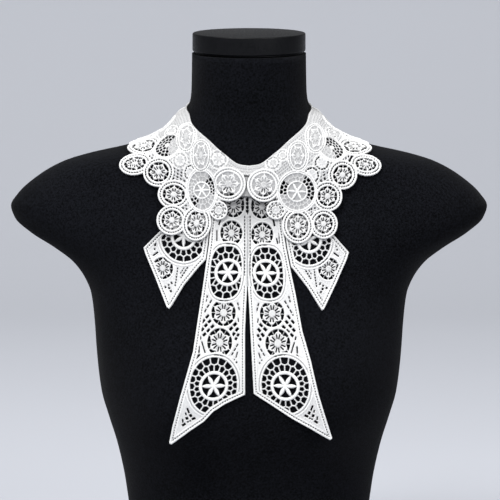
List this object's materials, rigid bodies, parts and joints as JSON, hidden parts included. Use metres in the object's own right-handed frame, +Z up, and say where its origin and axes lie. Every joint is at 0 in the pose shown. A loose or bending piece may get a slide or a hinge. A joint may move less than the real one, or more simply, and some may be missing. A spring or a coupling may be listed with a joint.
{
  "type": "lace jabot on dress form",
  "caption": "Guipure lace jabot with a scalloped collar, pointed tails and side tabs, buttoned at the nape, resting on a smooth limbless dress form with a capped neck.",
  "frame": {"origin": "on the ground under the middle of the whole, at the level of the form's flat underside", "axes": "+Z up, the front of the jabot faces -Y, the wearer's left is +X"},
  "size_m": [0.439, 0.2179, 0.5305],
  "materials": {
    "form_cloth": "matt black knitted cover",
    "form_cap": "satin black",
    "lace_white": "white embroidered guipure lace, soft sheen on the cords",
    "lace_under": "plain white inner ply",
    "button_pearl": "pearl"
  },
  "bodies": {
    "root": {"dress_form": "form_cloth", "neck_cap": "form_cap", "collar_left": "lace_white", "collar_right": "lace_white", "under_collar": "lace_under", "tail_left": "lace_white", "tail_right": "lace_white", "tab_left": "lace_white", "tab_right": "lace_white", "back_button": "button_pearl", "button_loop": "lace_white"}
  },
  "joints": []
}
